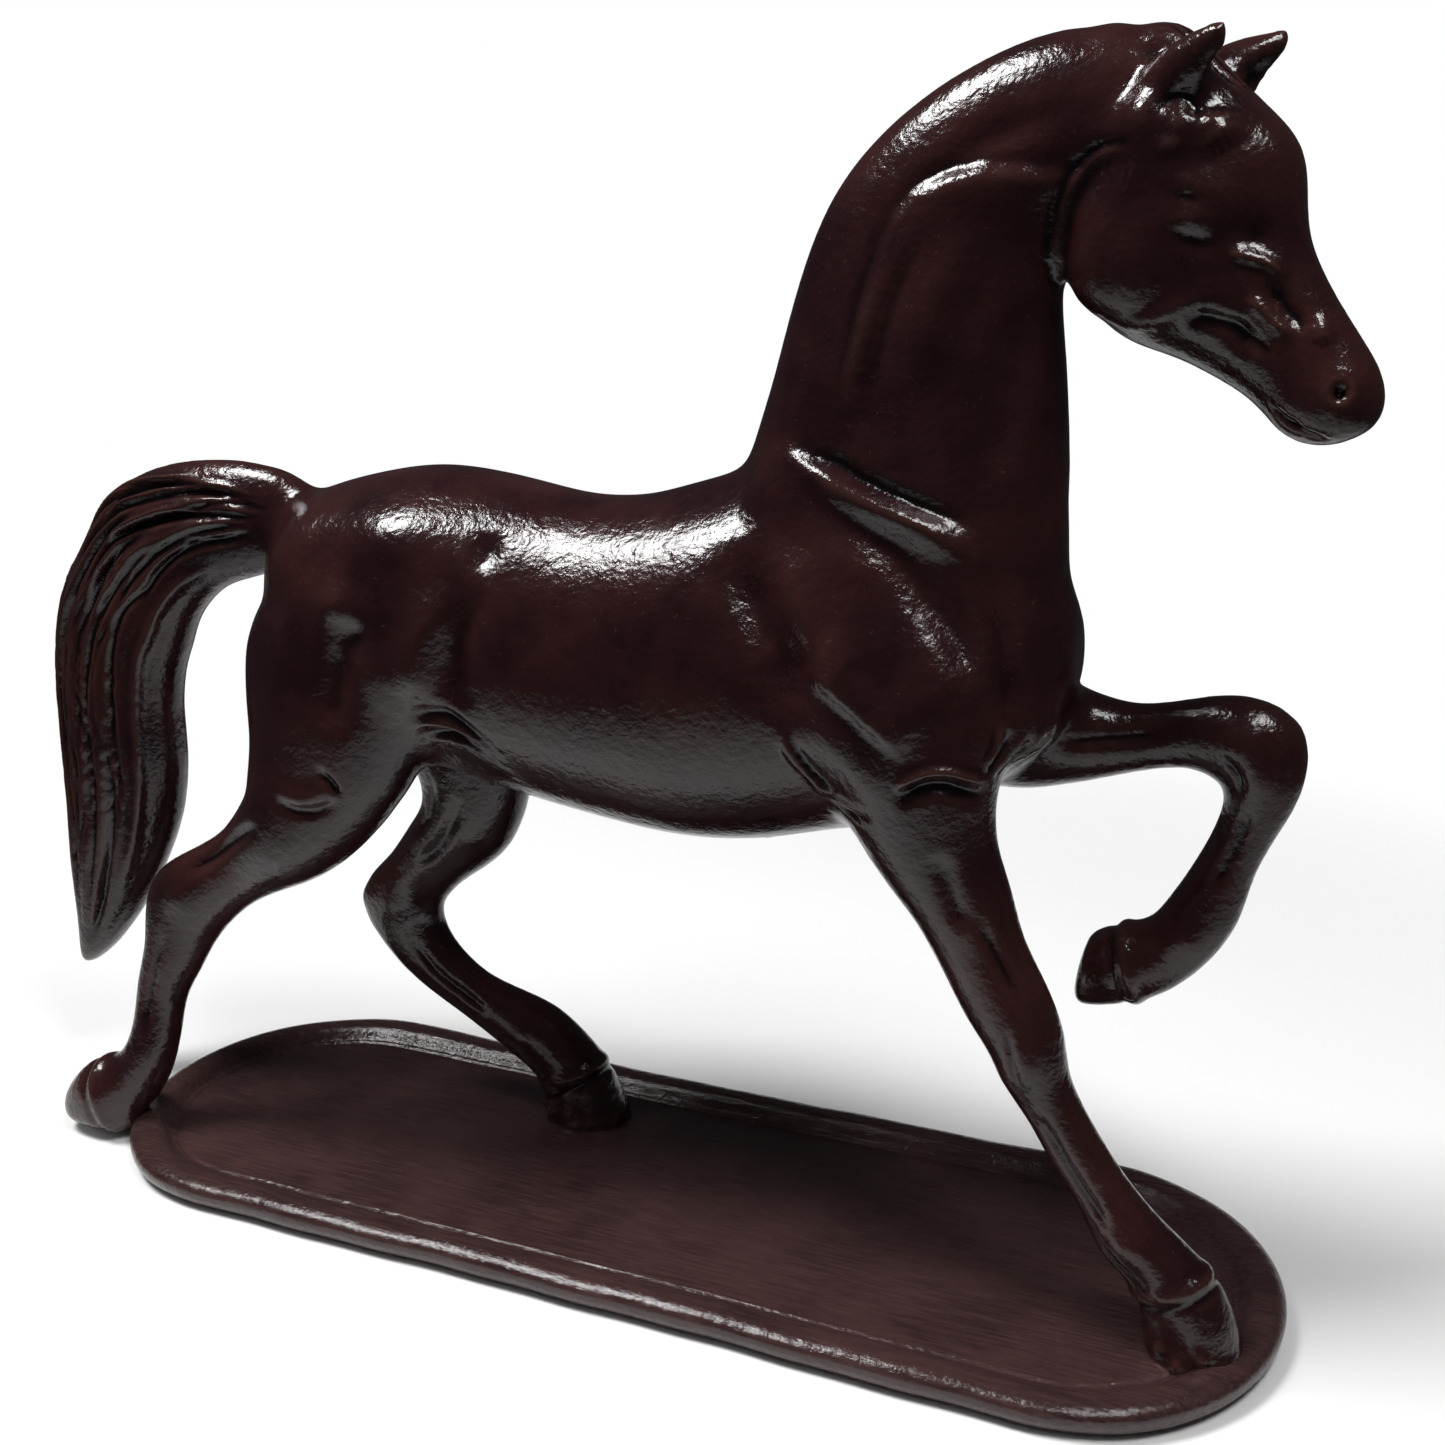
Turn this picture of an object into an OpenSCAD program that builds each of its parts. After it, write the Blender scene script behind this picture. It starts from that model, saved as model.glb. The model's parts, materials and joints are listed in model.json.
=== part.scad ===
// A trotting horse on a long, round-ended tray base, as a table statuette.
// The horse is a set of hollow and solid castings, doweled and welded together,
// and held to the base by screws from below.
// Frame: origin at the middle of the underside, +X the way the horse faces,
// +Z up, the horse's right side toward -Y.

/* [Base] */
// length of the base over its round ends
base_length = 320; // [318:1:322]
// width of the base
base_width = 111; // [110:1:114]
// height of the base to the top of its rim, over the pad
base_height = 8; // [8:0.5:9]
// height of the sunken floor that the hooves stand on
floor_height = 4.5; // [4.5:0.1:4.6]
// how far the underside is set in from the widest outline
underside_inset = 5.5; // [5:0.5:6]

/* [Castings] */
// wall of the hollow body casting
wall = 4; // [3:0.5:4.5]
// diameter of the dowels in the leg joints
dowel_d = 5; // [4:0.5:5]
// diameter of the pins through the neck joint
neck_pin_d = 3; // [2.5:0.5:3]
// clearance all round a dowel, pin or screw
clearance = 0.1; // [0.05:0.05:0.2]

/* [Fixings] */
// diameter of the hoof screws
screw_d = 4; // [3:0.5:4]
// diameter of a hoof screw's countersunk head
screw_head_d = 8; // [7:0.5:8]
// length of a hoof screw, head included
screw_length = 14; // [12:1:14]
// thickness of the felt pad
pad_thickness = 1.5; // [1:0.5:1.5]

/* [Quality] */
// corners round a body or neck section
body_sides = 28; // [20:4:32]
// corners round a leg or tail section
leg_sides = 16; // [12:4:20]

/* [Hidden] */

bronze = [0.20, 0.11, 0.09];
raw_bronze = [0.62, 0.45, 0.24];
steel = [0.62, 0.63, 0.65];
felt = [0.05, 0.16, 0.09];

pad_proud = 0.5;
dowel_grip = 12;
socket_fn = 24;
body_reach = 160;
trim_reach = 40;
trim_spread = 26;
before_spread = 20;

// Every table row is one oval section through a limb: [x, y, z, half-depth, half-width, angle].
// Half-depth is measured in the side view along the angle, which is in degrees up from +X;
// half-width is measured along Y.

torso = [
  [-107, 0, 164,  9,  8, 90],
  [-103, 0, 162, 19, 17, 90],
  [ -93, 0, 158, 28, 26, 90],
  [ -80, 0, 155.5, 34.5, 32, 90],
  [ -60, 0, 155, 38.5, 34, 90],
  [ -40, 0, 152, 40, 33, 90],
  [ -15, 0, 148, 40, 33, 90],
  [  10, 0, 148, 42.5, 34, 90],
  [  30, 0, 151, 44, 33, 90],
  [  50, 0, 153, 41, 31, 90],
  [  70, 0, 153, 36, 29, 90],
  [  86, 0, 155, 28, 24, 90],
  [  98, 0, 158, 19, 16, 90],
  [ 104, 0, 160,  9,  8, 90]];

neck = [
  [ 62, 0, 170, 43, 26, 156],
  [ 64, 0, 188, 40, 22, 158],
  [ 65.5, 0, 206, 36, 19, 163],
  [ 67.5, 0, 226, 33, 16, 160],
  [ 70.5, 0, 242, 30, 14, 152],
  [ 77, 0, 254, 26, 13, 137],
  [ 88, 0, 264, 22, 12, 116],
  [100, 0, 269, 20, 12, 103],
  [112, 0, 271, 16, 11,  95]];

hindleg_right = [
  [ -75, -14, 162, 31, 16,  10],
  [ -76.5, -18, 147, 31, 15,   0],
  [ -79.5, -20, 130, 28, 14, -10],
  [ -87, -20, 114, 22.5, 13, -30],
  [ -94, -20, 103, 18.3, 13, -45],
  [-100, -20,  96, 15, 12, -56],
  [-111, -20,  87, 11.5,  8.5, -49],
  [-121, -20,  81, 11.5,  8, -41],
  [-131, -20,  74, 13, 8, -37],
  [-137, -20,  66, 12.5,  7.5, -33],
  [-140, -21,  55,  9.5,  7, -28],
  [-144, -22,  45,  8, 6.5, -21],
  [-145, -24,  35,  7.5,  6.5, -13],
  [-147, -26,  26,  8, 7, -12],
  [-152, -27,  18,  9,  8, -38],
  [-158, -28,  13, 11,  9.5, -66],
  [-165, -28,  11, 10,  9.5, -74],
  [-173, -28,   7,  6,  7, -72],
  [-176, -28,   4,  3,  4, -72]];

hindleg_left = [
  [ -76, 14, 158, 30, 16,  10],
  [ -72, 18, 138, 27, 15,   5],
  [ -67, 19, 119, 21, 14,   3],
  [ -64, 19, 104, 17, 12,   0],
  [ -67, 19,  92, 14.5, 11, -22],
  [ -74, 20,  84, 13,  9.5, -26],
  [ -83, 21,  75, 12,  8, -16],
  [ -92.5, 22,  64, 14, 7.5,  0],
  [ -88, 22,  53, 11,  7,  22],
  [ -80, 22,  45,  9,  6.5,  42],
  [ -70, 23,  38,  8,  6, 56],
  [ -60, 24,  33,  9, 7, 60],
  [ -51, 25,  28.5,  10.5,  8,  52],
  [ -43, 26,  22,  10,  9,  42],
  [ -38, 27,  14, 11,  10,  28],
  [ -35, 27, floor_height, 12.5, 11, 0]];

foreleg_right = [
  [  48, -12, 184, 18,  9,  -5],
  [  60, -16, 165, 25, 13,   5],
  [  68, -18, 145, 24, 14,  12],
  [  74, -17, 127, 19, 13,  22],
  [  79, -16, 112, 14, 11,  27],
  [  84, -16, 103, 12, 9.5, 25],
  [  89, -16,  92, 10.5,  8.5,  24],
  [  95, -17,  82,  10.5, 8, 26],
  [ 100, -17,  73,  9.2,  8.5,  21],
  [ 103, -17,  64,  7.8, 7, 16],
  [ 108, -17,  56,  7, 6, 18],
  [ 113, -17,  48,  7, 6, 24],
  [ 119.5, -17,  39,  7, 6, 30],
  [ 126, -17,  30,  8.5, 7.5, 30],
  [ 133, -17,  24,  8.5, 8, 34],
  [ 138, -17,  17,  10,  9,  28],
  [ 141, -17,  10,  10.5, 10, 14],
  [ 142, -17, floor_height, 11, 10.5, 0]];

foreleg_left = [
  [  48,  12, 184, 18,  9,  -5],
  [  60,  16, 165, 25, 13,   5],
  [  72,  17, 148, 21, 13,  30],
  [  88,  17, 136, 17, 12,  66],
  [ 101,  17, 135.5, 12, 10,  86],
  [ 114,  17, 136.4,  8.5,  7, 90],
  [ 126,  17, 138.9,  8.3, 6.5, 92],
  [ 135.5,  17, 138.9, 10.7, 8, 76],
  [ 142.6,  17, 135.7, 11.2,  8.5,  42],
  [ 143.5,  17, 127,  9, 7.5, 14],
  [ 140.5,  17, 118,  7, 6.5, -10],
  [ 136.5,  17, 108,  7, 6.5, -12],
  [ 132.5,  17,  97,  8.5, 7.5, -17],
  [ 126.5,  17,  87.5,  8.5, 8, -42],
  [ 117,  17,  81.5, 10,  9.5, -73],
  [ 105,  17,  78,  9.5,  9, -99]];

tail = [
  [ -96, 0, 173, 10,  6,  70],
  [-105, 0, 176, 13,  7,  80],
  [-118, 0, 176, 16,  9,  92],
  [-132, 0, 174, 18,  10, 98],
  [-145, 0, 168.5, 21,  11, 108],
  [-154.5, 0, 161.5, 23,  11, 122],
  [-161, 0, 152, 22.5,  12, 138],
  [-167, 0, 141, 22.5, 12, 152],
  [-170.5, 0, 125, 22, 12, 166],
  [-171, 0, 107, 22, 12, 174],
  [-172.5, 0,  89, 20.5,  11, 178],
  [-177, 0,  71, 17,  10, 182],
  [-182, 0,  54,  12,  8, 190],
  [-188, 0,  41,  7,  6, 200],
  [-193, 0,  35,  3,  4, 205]];

head = [
  [104, 0, 273, 10, 10,  32],
  [112, 0, 270, 16, 13,  32],
  [117, 0, 261, 20.5, 15,  32],
  [121.2, 0, 250, 25.3, 15,  30],
  [127, 0, 237.2, 21.2, 13,  29],
  [136.7, 0, 229.6, 16, 10.5,  28],
  [145.7, 0, 222.6, 12.6, 9,  31],
  [151.5, 0, 216.2, 11.4,  9,  29],
  [155, 0, 211,  9, 8,  27],
  [157.5, 0, 208.5,  4,  4,  26]];

// ---- functions that turn a table into a smooth closed skin ----

function row(table, i) = table[max(0, min(len(table) - 1, i))];

// value a fraction t of the way from b to c on the smooth curve through a, b, c, d
function curve(a, b, c, d, t) =
  0.5 * (2 * b + (c - a) * t + (2 * a - 5 * b + 4 * c - d) * t * t
         + (3 * b - a - 3 * c + d) * t * t * t);

function smooth(table, steps) = [
  for (i = [0 : len(table) - 2])
    for (k = [0 : steps - 1])
      curve(row(table, i - 1), row(table, i), row(table, i + 1), row(table, i + 2), k / steps),
  row(table, len(table) - 1)];

// the same table with every section made smaller all round
function shrunk(table, by) = [for (r = table) [r[0], r[1], r[2], r[3] - by, r[4] - by, r[5]]];

function section_point(r, turn) =
  [r[0] + r[3] * cos(turn) * cos(r[5]),
   r[1] + r[4] * sin(turn),
   r[2] + r[3] * cos(turn) * sin(r[5])];

// +1 when the sections follow each other along their own normal, else -1
function sense(table) =
  let (mid = table[floor(len(table) / 2)])
  -sin(mid[5]) * (row(table, floor(len(table) / 2) + 1)[0] - mid[0])
  + cos(mid[5]) * (row(table, floor(len(table) / 2) + 1)[2] - mid[2]) > 0 ? 1 : -1;

module skin(table, sides, steps = 3) {
  rows = smooth(table, steps);
  count = len(rows);
  points = [for (r = rows) for (j = [0 : sides - 1]) section_point(r, sense(table) * 360 * j / sides)];
  side_faces = [
    for (i = [0 : count - 2]) for (j = [0 : sides - 1])
      let (k = (j + 1) % sides, a = i * sides + j, b = i * sides + k, c = a + sides, d = b + sides)
      each [[a, d, b], [a, c, d]]];
  first_cap = [for (j = [0 : sides - 1]) j];
  last_cap = [for (j = [sides - 1 : -1 : 0]) (count - 1) * sides + j];
  polyhedron(points = points, faces = concat(side_faces, [first_cap, last_cap]), convexity = 10);
}

// ---- shared parts of the castings ----

// a rounded muscle between two places, each with its own radii along X, Y and Z
module muscle(from, from_size, to, to_size) {
  hull() {
    translate(from) scale(from_size) sphere(1, $fn = 16);
    translate(to) scale(to_size) sphere(1, $fn = 16);
  }
}

// A joint is a flat cut across a limb:
// [x, y, z, angle away from the body, half-spread along Y, how far its plane cuts on the hoof's side].
hindleg_right_joint = [-106, -20, 91.5, 220, 19, 150];
hindleg_left_joint = [-69, 19, 89.5, 230, 18, 150];
foreleg_right_joint = [81, -16, 107, -65, 15, 150];
foreleg_left_joint = [110, 17, 136.5, 0, 17, 40];
tail_joint = [-110, 0, 176, 180, 20, 150];
neck_joint = [91, 0, 260, 13, 30, 150];

module at_joint(joint) {
  translate([joint[0], joint[1], joint[2]]) rotate([0, -joint[3], 0]) children();
}

// everything near the limb that lies past its joint
module past(joint) {
  at_joint(joint) translate([0, -joint[4], -trim_spread])
    cube([trim_reach, 2 * joint[4], 2 * trim_spread]);
}

// everything near the limb that lies on the body's side of its joint
module before(joint) {
  at_joint(joint) translate([-body_reach, -joint[4] - before_spread, -joint[5]])
    cube([body_reach, 2 * (joint[4] + before_spread), joint[5] + body_reach]);
}

// a round bar centred on a joint and square to it
module bar(joint, diameter, grip, fn = 48) {
  at_joint(joint) rotate([0, 90, 0]) cylinder(d = diameter, h = 2 * grip, center = true, $fn = fn);
}

module socket(joint) {
  bar(joint, dowel_d + 2 * clearance, dowel_grip, socket_fn);
}

// a leg or tail: its whole skin, less the part that belongs to the body, with a dowel socket
module limb(table, joint) {
  difference() {
    skin(table, leg_sides, 2);
    before(joint);
    socket(joint);
  }
}

// the part of a leg or tail that is cast with the body
module stump(table, joint) {
  intersection() {
    skin(table, leg_sides, 2);
    before(joint);
  }
}

// ---- the base ----

end_radius = base_width / 2;
// the round ends are slightly flattened: this much of a half circle's depth
end_flatness = 0.91;
straight = base_length - base_width * end_flatness;
sole_radius = end_radius - underside_inset;
widest_z = 5;
rim_crest = end_radius - 4.5;
floor_radius = end_radius - 15;
rim_steps = 6;
end_fn = 96;

// outline of the base across its width, from the middle of the underside to the middle of the floor
function base_profile() = concat(
  [[0, pad_proud], [sole_radius, pad_proud]],
  [for (i = [1 : rim_steps])
     [sole_radius + underside_inset * sin(90 * i / rim_steps),
      widest_z - (widest_z - pad_proud) * cos(90 * i / rim_steps)]],
  [for (i = [1 : rim_steps])
     [rim_crest + (end_radius - rim_crest) * cos(90 * i / rim_steps),
      widest_z + (base_height - widest_z) * sin(90 * i / rim_steps)]],
  [for (i = [1 : rim_steps])
     let (t = i / rim_steps)
     [rim_crest + (floor_radius - rim_crest) * t,
      floor_height + (base_height - floor_height) * (1 + cos(180 * t)) / 2]],
  [[0, floor_height]]);

module base_blank() {
  for (end = [-1, 1])
    translate([end * straight / 2, 0, 0]) scale([end_flatness, 1, 1]) rotate([0, 0, -90 * end])
      rotate_extrude(angle = 180, $fn = end_fn) polygon(base_profile());
  for (side = [-1, 1])
    rotate([90, 0, side * 90]) linear_extrude(straight, center = true) polygon(base_profile());
}

module stadium(radius, height) {
  for (end = [-1, 1])
    translate([end * straight / 2, 0, 0]) scale([end_flatness, 1, 1])
      cylinder(r = radius, h = height, $fn = end_fn);
  translate([-straight / 2, -radius, 0]) cube([straight, 2 * radius, height]);
}

pad_border = 5;
pad_radius = sole_radius - pad_border;
hoof_screws_at = [[140, -17], [-36, 27]];
screw_head_height = (screw_head_d - screw_d) / 2;
washer_d = screw_head_d + 1;
washer_height = 0.5;
screw_seat = pad_thickness + washer_height;
toe_stud_at = [-149, -25];
toe_stud_d = 3;
toe_stud_foot = 4.5;
toe_stud_top = 17;

module toe_hole() {
  translate([toe_stud_at[0], toe_stud_at[1], toe_stud_foot])
    cylinder(d = toe_stud_d + 2 * clearance, h = toe_stud_top - toe_stud_foot, $fn = 24);
}

// hexagonal drive of a screw, which the washer leaves open
drive_r = 1.5;
drive_depth = 1.5;

module drive(height) {
  cylinder(r = drive_r, h = height, $fn = 6);
}

module countersunk(at, extra) {
  translate([at[0], at[1], screw_seat]) {
    cylinder(d1 = screw_head_d + 2 * extra, d2 = screw_d + 2 * extra, h = screw_head_height, $fn = 32);
    cylinder(d = screw_d + 2 * extra, h = screw_length, $fn = 32);
  }
}

module base_casting() {
  color(bronze)
  difference() {
    base_blank();
    stadium(pad_radius, pad_thickness);
    for (at = hoof_screws_at) {
      countersunk(at, clearance);
      translate([at[0], at[1], 0]) cylinder(d = washer_d + 2 * clearance, h = screw_seat, $fn = 32);
    }
    toe_hole();
  }
}

module base_pad() {
  color(felt) stadium(pad_radius - clearance, pad_thickness - clearance);
}

// ---- the hollow body ----

module hollow() {
  skin(shrunk([for (i = [2 : len(torso) - 3]) torso[i]], wall), 20, 2);
  skin(shrunk(neck, wall), 20, 2);
  spigot_bar(spigot_width, spigot_length + 4);
}

// the straight mouth of the hollow, which the head's spigot fills, is an upright oval
spigot_length = 12;
spigot_width = 13;
spigot_height_ratio = 1.9;

module spigot_bar(width, length) {
  at_joint(neck_joint) rotate([0, 90, 0]) scale([spigot_height_ratio, 1, 1])
    translate([0, 0, -spigot_length]) cylinder(d = width, h = length, $fn = 32);
}

// two pins cross the spigot and end just under the skin, where the metal is welded over them
neck_pin_back = 7;
neck_pin_up = 8;
neck_pin_length = 21;

module neck_pin_bars(diameter, length) {
  for (side = [-1, 1])
    at_joint(neck_joint) translate([-neck_pin_back, 0, neck_pin_up * side]) rotate([90, 0, 0])
      cylinder(d = diameter, h = length, center = true, $fn = 32);
}

// round plugs close the core holes along the middle of the belly, nearly flush with it
plug_d = 6;
plugs_at = [-30, 0, 30];
plug_inset = 0.2;
core_hole_foot = 100;
core_hole_height = 20;

// height of the underside of the belly
function belly(x) = lookup(x, [for (r = torso) [r[0], r[2] - r[3]]]);

module core_holes() {
  for (x = plugs_at)
    translate([x, 0, core_hole_foot])
      cylinder(d = plug_d + 2 * clearance, h = core_hole_height, $fn = socket_fn);
}

module torso_casting() {
  color(bronze)
  difference() {
    union() {
      skin(torso, body_sides);
      intersection() {
        skin(neck, body_sides, 2);
        before(neck_joint);
      }
      stump(hindleg_right, hindleg_right_joint);
      stump(hindleg_left, hindleg_left_joint);
      stump(foreleg_right, foreleg_right_joint);
      stump(foreleg_left, foreleg_left_joint);
      stump(tail, tail_joint);
      // withers
      muscle([4, 0, 177], [16, 13, 12.5], [29, 0, 185.5], [9, 12, 12]);
      for (side = [-1, 1]) {
        // gluteal mass over the hip
        muscle([-84, 17 * side, 165], [16, 12, 18], [-62, 15 * side, 172], [14, 13, 14]);
        // shoulder blade
        muscle([40, 13 * side, 192], [8, 8, 10], [78, 21 * side, 152], [12, 9, 12]);
        // breast
        muscle([90, 9 * side, 165], [10, 9, 12], [92, 10 * side, 146], [11, 10, 10]);
        // triceps
        muscle([52, 20 * side, 152], [13, 11, 14], [64, 20 * side, 132], [10, 9, 9]);
      }
    }
    past(hindleg_right_joint);
    past(hindleg_left_joint);
    past(foreleg_right_joint);
    past(foreleg_left_joint);
    past(tail_joint);
    hollow();
    core_holes();
    neck_pin_bars(neck_pin_d + 2 * clearance, neck_pin_length + 2 * clearance);
    socket(hindleg_right_joint);
    socket(hindleg_left_joint);
    socket(foreleg_right_joint);
    socket(foreleg_left_joint);
    socket(tail_joint);
  }
}

// ---- the other castings ----

// the head is turned a little toward the horse's right, about an upright line through the poll
head_turn = 12;
poll_x = 108;

module turned_head() {
  translate([poll_x, 0, 0]) rotate([0, 0, -head_turn]) translate([-poll_x, 0, 0]) children();
}

// an ear's blade: where its middle and its tip are, and how large the middle is
near_ear = [[124, -10.5, 278.5], [6, 4, 5], [130.5, -14.2, 284]];
far_ear = [[125.5, 10.5, 278.5], [6.5, 4.5, 6], [134, 13.5, 285]];

module ear(blade, side) {
  difference() {
    hull() {
      translate([117, 7 * side, 273]) scale([7, 5, 6]) sphere(1, $fn = 16);
      translate(blade[0]) scale(blade[1]) sphere(1, $fn = 16);
      translate(blade[2]) sphere(1.5, $fn = 12);
    }
    // the hollow of the ear opens forward
    hull() {
      translate(blade[0] + [5, -1.5 * side, -2]) scale([3.5, 3, 3]) sphere(1, $fn = 16);
      translate(blade[2] + [2.5, -side, -3]) sphere(1, $fn = 12);
    }
  }
}

module head_casting() {
  color(bronze)
  difference() {
    union() {
      head_masses();
      spigot_bar(spigot_width - 2 * clearance, spigot_length + 2);
    }
    neck_pin_bars(neck_pin_d + 2 * clearance, neck_pin_length + 2 * clearance);
  }
}

module head_masses() {
  union() {
    turned_head() {
      skin(head, 20);
      ear(near_ear, -1);
      ear(far_ear, 1);
      // forelock between the ears
      muscle([113, 0, 282], [9, 7, 5.5], [128, 0, 271], [5, 5, 5]);
      for (side = [-1, 1]) {
        // cheek
        muscle([111, 6 * side, 248], [15, 8, 17], [112, 7 * side, 245], [15, 8, 16]);
        // brow
        muscle([124, 9 * side, 259], [6, 5, 5], [131, 7 * side, 256], [5, 5, 5]);
      }
    }
    difference() {
      skin(neck, body_sides, 2);
      before(neck_joint);
    }
  }
}

module foreleg_right_casting() {
  color(bronze)
  difference() {
    limb(foreleg_right, foreleg_right_joint);
    countersunk(hoof_screws_at[0], clearance);
  }
}

module foreleg_left_casting() {
  color(bronze) limb(foreleg_left, foreleg_left_joint);
}

// the trailing toe is cut away where it meets the rim of the base
module hindleg_right_casting() {
  color(bronze)
  difference() {
    limb(hindleg_right, hindleg_right_joint);
    stadium(end_radius, base_height);
    toe_hole();
  }
}

module hindleg_left_casting() {
  color(bronze)
  difference() {
    limb(hindleg_left, hindleg_left_joint);
    countersunk(hoof_screws_at[1], clearance);
  }
}

module tail_casting() {
  color(bronze) limb(tail, tail_joint);
}

// ---- pins, dowels and screws ----

module neck_pins() {
  color(steel) neck_pin_bars(neck_pin_d, neck_pin_length);
}

module foreleg_dowels() {
  color(steel) {
    bar(foreleg_right_joint, dowel_d, dowel_grip);
    bar(foreleg_left_joint, dowel_d, dowel_grip);
  }
}

module hindleg_dowels() {
  color(steel) {
    bar(hindleg_right_joint, dowel_d, dowel_grip);
    bar(hindleg_left_joint, dowel_d, dowel_grip);
  }
}

module tail_dowel() {
  color(steel) bar(tail_joint, dowel_d, dowel_grip);
}

module hoof_screws() {
  color(steel)
  for (at = hoof_screws_at)
    difference() {
      countersunk(at, 0);
      translate([at[0], at[1], screw_seat]) drive(drive_depth);
    }
}

module hoof_washers() {
  color(steel)
  for (at = hoof_screws_at)
    translate([at[0], at[1], pad_thickness]) difference() {
      cylinder(d = washer_d, h = washer_height, $fn = 32);
      drive(washer_height);
    }
}

module toe_stud() {
  color(steel)
  translate([toe_stud_at[0], toe_stud_at[1], toe_stud_foot])
    cylinder(d = toe_stud_d, h = toe_stud_top - toe_stud_foot, $fn = 24);
}

module core_plugs() {
  color(raw_bronze)
  for (x = plugs_at)
    translate([x, 0, belly(x) + plug_inset]) cylinder(d = plug_d, h = wall - 2 * plug_inset, $fn = 32);
}

base_casting();
base_pad();
torso_casting();
head_casting();
foreleg_right_casting();
foreleg_left_casting();
hindleg_right_casting();
hindleg_left_casting();
tail_casting();
neck_pins();
foreleg_dowels();
hindleg_dowels();
tail_dowel();
hoof_screws();
hoof_washers();
toe_stud();
core_plugs();
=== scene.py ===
"""The looks of the horse statuette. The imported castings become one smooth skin, which is modelled with
bumps, grooves and carved hair and then cut back into one piece per casting."""

import json
import math

import bpy
import numpy as np
import openvdb
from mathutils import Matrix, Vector


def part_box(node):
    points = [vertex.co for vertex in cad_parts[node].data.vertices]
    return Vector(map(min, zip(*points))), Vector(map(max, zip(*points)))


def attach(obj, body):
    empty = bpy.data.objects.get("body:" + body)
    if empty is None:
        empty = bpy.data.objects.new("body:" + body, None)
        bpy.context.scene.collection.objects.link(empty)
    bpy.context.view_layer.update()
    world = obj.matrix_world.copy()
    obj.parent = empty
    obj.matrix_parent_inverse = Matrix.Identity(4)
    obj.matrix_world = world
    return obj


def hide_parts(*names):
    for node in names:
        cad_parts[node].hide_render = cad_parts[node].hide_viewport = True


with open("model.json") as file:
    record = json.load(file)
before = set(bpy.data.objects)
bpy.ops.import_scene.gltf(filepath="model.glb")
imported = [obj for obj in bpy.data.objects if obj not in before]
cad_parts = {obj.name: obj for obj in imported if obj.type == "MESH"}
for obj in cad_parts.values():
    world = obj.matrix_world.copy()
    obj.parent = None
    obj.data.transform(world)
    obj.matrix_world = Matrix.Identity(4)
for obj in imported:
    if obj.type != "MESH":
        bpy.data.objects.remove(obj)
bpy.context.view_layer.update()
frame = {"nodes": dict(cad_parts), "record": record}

MM = 0.001

CASTINGS = ["torso_casting", "head_casting", "tail_casting", "foreleg_right_casting",
            "foreleg_left_casting", "hindleg_right_casting", "hindleg_left_casting"]
FLUSH_FIXINGS = ["neck_pins", "core_plugs"]

RIGHT = -1
LEFT = 1
BOTH = (RIGHT, LEFT)

FLOOR_Z = 4.5               # the tray's sunken floor, in millimetres like every size here
SKIN_STEP = 1.2             # size of the skin's faces before they are split
HOOF_CUT_Z = 8.0            # below this height the planted hooves go straight down,
HOOF_END_Z = 3.5            # to just under the floor
OWNER_STEP = 1.5            # grid on which each face's nearest casting is found
OWNER_REACH = 7.5
OWNER_MARGIN = 8


# ---- meshes from the CAD nodes

def node_mesh(name):
    """A CAD node's points in millimetres, and its triangles."""
    mesh = frame["nodes"][name].data
    points = np.empty(len(mesh.vertices) * 3, np.float32)
    mesh.vertices.foreach_get("co", points)
    mesh.calc_loop_triangles()
    triangles = np.empty(len(mesh.loop_triangles) * 3, np.int32)
    mesh.loop_triangles.foreach_get("vertices", triangles)
    return points.reshape(-1, 3) / MM, triangles.reshape(-1, 3)


def joined_nodes(names):
    """Several nodes' points and triangles as one list each."""
    all_points, all_triangles, count = [], [], 0
    for name in names:
        points, triangles = node_mesh(name)
        all_points.append(points)
        all_triangles.append(triangles + count)
        count += len(points)
    return np.vstack(all_points), np.vstack(all_triangles)


# ---- distance fields on a regular grid

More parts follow.
